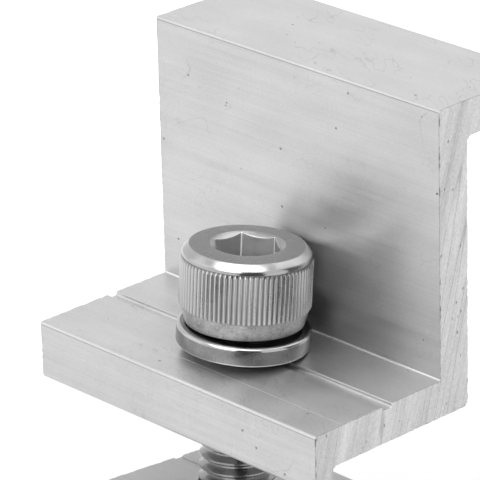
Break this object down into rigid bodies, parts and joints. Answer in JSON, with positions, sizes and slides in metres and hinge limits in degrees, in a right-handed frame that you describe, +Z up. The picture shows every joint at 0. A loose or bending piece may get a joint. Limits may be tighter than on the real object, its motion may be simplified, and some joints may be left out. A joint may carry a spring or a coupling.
{
  "type": "solar panel z bracket",
  "caption": "Extruded Z-shaped end clamp that holds the edge of a framed solar panel to a slotted rail, with its socket head screw, spring washer and slide nut.",
  "frame": {"origin": "on the axis of the bracket's hole, in the plane of the lip's underside, which bears on the rail", "axes": "+X along the extrusion, +Y towards the panel, +Z up, away from the rail"},
  "size_m": [0.0393, 0.0334, 0.0505],
  "materials": {
    "bracket_aluminium": "mill-finish extrusion with fine die lines and saw-cut ends",
    "screw_steel": "bright stainless steel, cold-headed and knurled",
    "washer_steel": "bright stainless steel, lightly tumbled",
    "nut_aluminium": "mill-finish extrusion with die lines and saw-cut ends"
  },
  "bodies": {
    "bracket": {"z_bracket": "bracket_aluminium"},
    "washer": {"spring_washer": "washer_steel"},
    "screw": {"cap_screw": "screw_steel"},
    "nut": {"slide_nut": "nut_aluminium"}
  },
  "joints": [
    {"name": "screw_lift", "type": "slide", "parent": "bracket", "child": "washer", "axis": [0, 0, 1], "range_m": [0, 0.003]},
    {"name": "screw_turn", "type": "hinge", "parent": "washer", "child": "screw", "pos_m": [0, 0.00021, 0.00908], "axis": [0, -0.0872, -0.9962], "range_deg": [-360, 1209.6]},
    {"name": "nut_travel", "type": "slide", "parent": "washer", "child": "nut", "axis": [0, 0.0872, 0.9962], "range_m": [-0.0013, 0.0043]}
  ],
  "couplings": [
    {"joint": "nut_travel", "follows": "screw_turn", "m_per_rad": 0.00019894}
  ]
}
